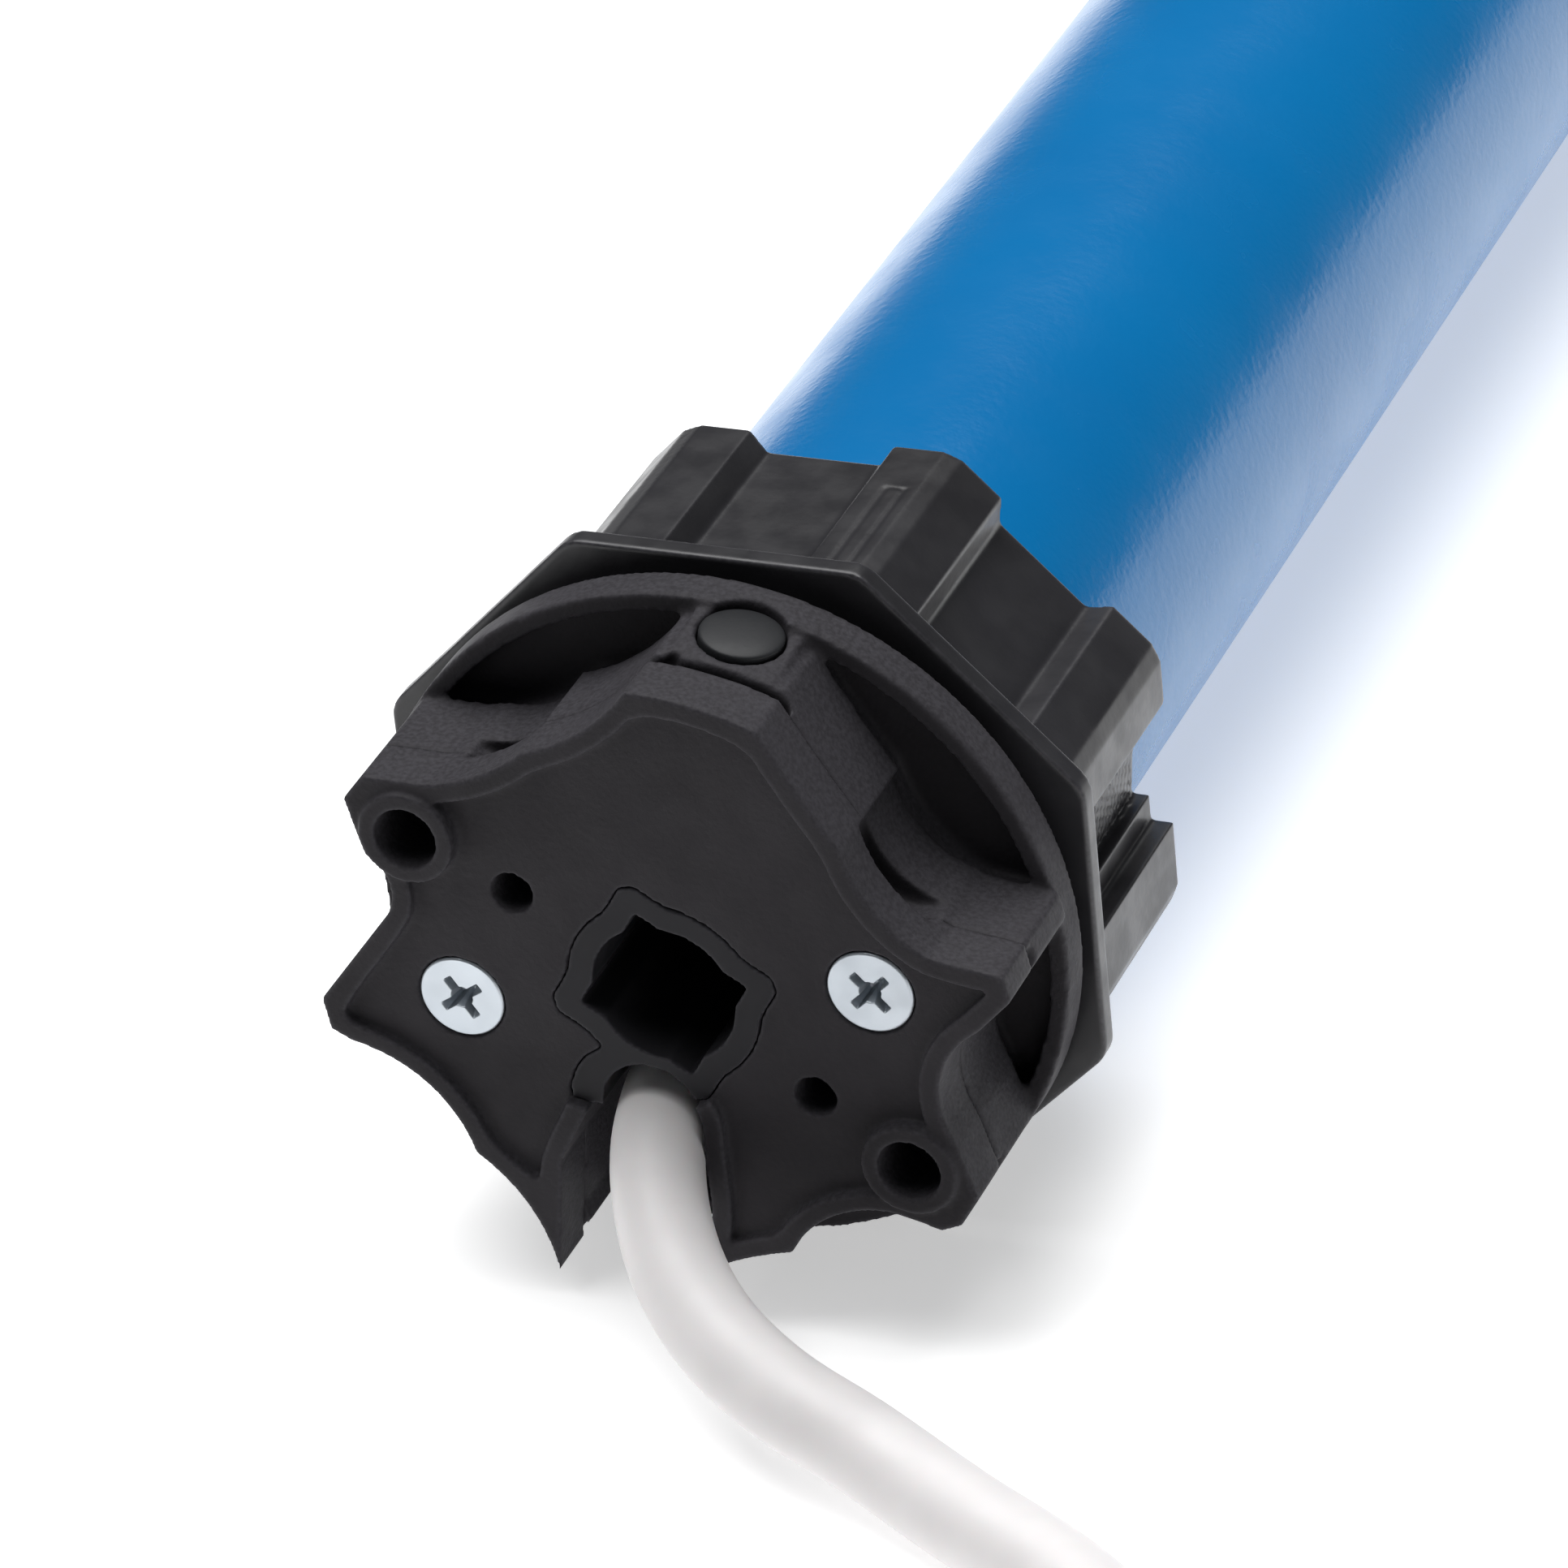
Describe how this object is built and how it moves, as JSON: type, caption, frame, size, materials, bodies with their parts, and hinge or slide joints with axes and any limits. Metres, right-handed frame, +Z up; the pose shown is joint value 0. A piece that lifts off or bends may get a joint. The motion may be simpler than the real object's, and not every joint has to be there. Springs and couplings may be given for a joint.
{
  "type": "roller shutter motor",
  "caption": "Tubular roller shutter motor: star head with set button and supply cable, octagonal crown ring, blue steel tube and octagonal drive wheel.",
  "frame": {"origin": "on the ground under the middle of the motor, halfway between the faces of the head's bosses and the end of the drive wheel's screw; the cable is left out", "axes": "+Y along the motor's axis from the head to the drive wheel, +Z up, +X to the right seen from the head"},
  "size_m": [0.1172, 0.7311, 0.061],
  "materials": {
    "head_plastic": "fine moulded texture, near black",
    "smooth_plastic": "smooth moulded, near black",
    "blue_coat": "satin powder coat with fine orange peel",
    "zinc": "bright zinc plate",
    "button": "soft translucent grey",
    "rubber": "black rubber",
    "cable_sheath": "light grey PVC, satin",
    "core_brown": "brown insulation",
    "core_blue": "blue insulation",
    "core_earth": "green and yellow insulation",
    "grey_plastic": "moulded grey",
    "gear_plastic": "natural acetal",
    "board": "green laminate",
    "relay": "dark blue case",
    "aluminium": "plain can and die casting",
    "lead": "black sleeve over the leads",
    "steel": "machined steel",
    "laminations": "stacked electrical steel",
    "copper": "enamelled copper wire",
    "bronze": "sintered bronze"
  },
  "bodies": {
    "root": {"head_cover": "head_plastic", "head_body": "head_plastic", "socket_insert": "smooth_plastic", "head_screw_right": "zinc", "head_screw_left": "zinc", "button_switch": "rubber", "cable_gland": "rubber", "motor_tube": "blue_coat", "tube_screw_upper": "zinc", "tube_screw_lower": "zinc", "electronics_tray": "grey_plastic", "circuit_board": "board", "terminal_block": "board", "relay_up": "relay", "relay_down": "relay", "power_module": "smooth_plastic", "run_capacitor": "aluminium", "motor_leads": "lead", "front_end_shield": "aluminium", "front_bearing": "steel", "stator_core": "laminations", "stator_windings": "copper", "rear_bearing": "steel", "rear_end_shield": "aluminium", "brake_magnet": "laminations", "brake_spring": "steel", "gearbox_casing": "grey_plastic", "output_cap": "smooth_plastic", "output_bush": "bronze", "cable_lead": "cable_sheath", "cable_coil": "cable_sheath", "cable_core_brown": "core_brown", "cable_core_blue": "core_blue", "cable_core_earth": "core_earth"},
    "crown": {"crown_adapter": "smooth_plastic", "running_ring": "grey_plastic"},
    "encoder": {"encoder_gear": "gear_plastic"},
    "button": {"set_button": "button"},
    "rotor": {"rotor_shaft": "steel", "rotor_core": "laminations", "brake_disc": "rubber", "sun_gear_1": "steel"},
    "brake_armature": {"brake_plate": "steel"},
    "carrier_1": {"carrier_1": "steel", "sun_gear_2": "steel"},
    "carrier_2": {"carrier_2": "steel", "sun_gear_3": "steel"},
    "output": {"carrier_3": "steel", "output_shaft": "steel", "drive_wheel": "smooth_plastic", "wheel_screw": "zinc"},
    "planet_1a": {"planet_1a": "gear_plastic"},
    "planet_1b": {"planet_1b": "gear_plastic"},
    "planet_1c": {"planet_1c": "gear_plastic"},
    "planet_2a": {"planet_2a": "gear_plastic"},
    "planet_2b": {"planet_2b": "gear_plastic"},
    "planet_2c": {"planet_2c": "gear_plastic"},
    "planet_3a": {"planet_3a": "gear_plastic"},
    "planet_3b": {"planet_3b": "gear_plastic"},
    "planet_3c": {"planet_3c": "gear_plastic"}
  },
  "joints": [
    {"name": "crown_spin", "type": "hinge", "parent": "root", "child": "crown", "pos_m": [0, -0.2457, 0.0305], "axis": [0, 1, 0], "continuous": true},
    {"name": "encoder_spin", "type": "hinge", "parent": "root", "child": "encoder", "pos_m": [0, -0.2382, 0.0477], "axis": [0, 1, 0], "continuous": true},
    {"name": "button_press", "type": "slide", "parent": "root", "child": "button", "axis": [-0.1967, 0, -0.9805], "range_m": [0, 0.0008], "stiffness_N_per_m": 1500},
    {"name": "rotor_spin", "type": "hinge", "parent": "root", "child": "rotor", "pos_m": [0, 0.0393, 0.0305], "axis": [0, 1, 0], "continuous": true},
    {"name": "brake_release", "type": "slide", "parent": "root", "child": "brake_armature", "axis": [0, -1, 0], "range_m": [0, 0.0005], "stiffness_N_per_m": 4000},
    {"name": "carrier_1_spin", "type": "hinge", "parent": "root", "child": "carrier_1", "pos_m": [0, 0.1373, 0.0305], "axis": [0, 1, 0], "continuous": true},
    {"name": "carrier_2_spin", "type": "hinge", "parent": "root", "child": "carrier_2", "pos_m": [0, 0.1563, 0.0305], "axis": [0, 1, 0], "continuous": true},
    {"name": "output_spin", "type": "hinge", "parent": "root", "child": "output", "pos_m": [0, 0.2243, 0.0305], "axis": [0, 1, 0], "continuous": true},
    {"name": "planet_1a_spin", "type": "hinge", "parent": "carrier_1", "child": "planet_1a", "pos_m": [0.0108, 0.1293, 0.0305], "axis": [0, 1, 0], "continuous": true},
    {"name": "planet_1b_spin", "type": "hinge", "parent": "carrier_1", "child": "planet_1b", "pos_m": [-0.0054, 0.1293, 0.03985], "axis": [0, 1, 0], "continuous": true},
    {"name": "planet_1c_spin", "type": "hinge", "parent": "carrier_1", "child": "planet_1c", "pos_m": [-0.0054, 0.1293, 0.02115], "axis": [0, 1, 0], "continuous": true},
    {"name": "planet_2a_spin", "type": "hinge", "parent": "carrier_2", "child": "planet_2a", "pos_m": [0.0108, 0.1473, 0.0305], "axis": [0, 1, 0], "continuous": true},
    {"name": "planet_2b_spin", "type": "hinge", "parent": "carrier_2", "child": "planet_2b", "pos_m": [-0.0054, 0.1473, 0.03985], "axis": [0, 1, 0], "continuous": true},
    {"name": "planet_2c_spin", "type": "hinge", "parent": "carrier_2", "child": "planet_2c", "pos_m": [-0.0054, 0.1473, 0.02115], "axis": [0, 1, 0], "continuous": true},
    {"name": "planet_3a_spin", "type": "hinge", "parent": "output", "child": "planet_3a", "pos_m": [0.0108, 0.1688, 0.0305], "axis": [0, 1, 0], "continuous": true},
    {"name": "planet_3b_spin", "type": "hinge", "parent": "output", "child": "planet_3b", "pos_m": [-0.0054, 0.1688, 0.03985], "axis": [0, 1, 0], "continuous": true},
    {"name": "planet_3c_spin", "type": "hinge", "parent": "output", "child": "planet_3c", "pos_m": [-0.0054, 0.1688, 0.02115], "axis": [0, 1, 0], "continuous": true}
  ],
  "couplings": [
    {"joint": "encoder_spin", "follows": "crown_spin", "ratio": 4.5833},
    {"joint": "carrier_1_spin", "follows": "rotor_spin", "ratio": 0.22222},
    {"joint": "carrier_2_spin", "follows": "rotor_spin", "ratio": 0.049383},
    {"joint": "output_spin", "follows": "rotor_spin", "ratio": 0.010974},
    {"joint": "planet_1a_spin", "follows": "rotor_spin", "ratio": -0.62222},
    {"joint": "planet_1b_spin", "follows": "rotor_spin", "ratio": -0.62222},
    {"joint": "planet_1c_spin", "follows": "rotor_spin", "ratio": -0.62222},
    {"joint": "planet_2a_spin", "follows": "rotor_spin", "ratio": -0.13827},
    {"joint": "planet_2b_spin", "follows": "rotor_spin", "ratio": -0.13827},
    {"joint": "planet_2c_spin", "follows": "rotor_spin", "ratio": -0.13827},
    {"joint": "planet_3a_spin", "follows": "rotor_spin", "ratio": -0.030727},
    {"joint": "planet_3b_spin", "follows": "rotor_spin", "ratio": -0.030727},
    {"joint": "planet_3c_spin", "follows": "rotor_spin", "ratio": -0.030727}
  ]
}
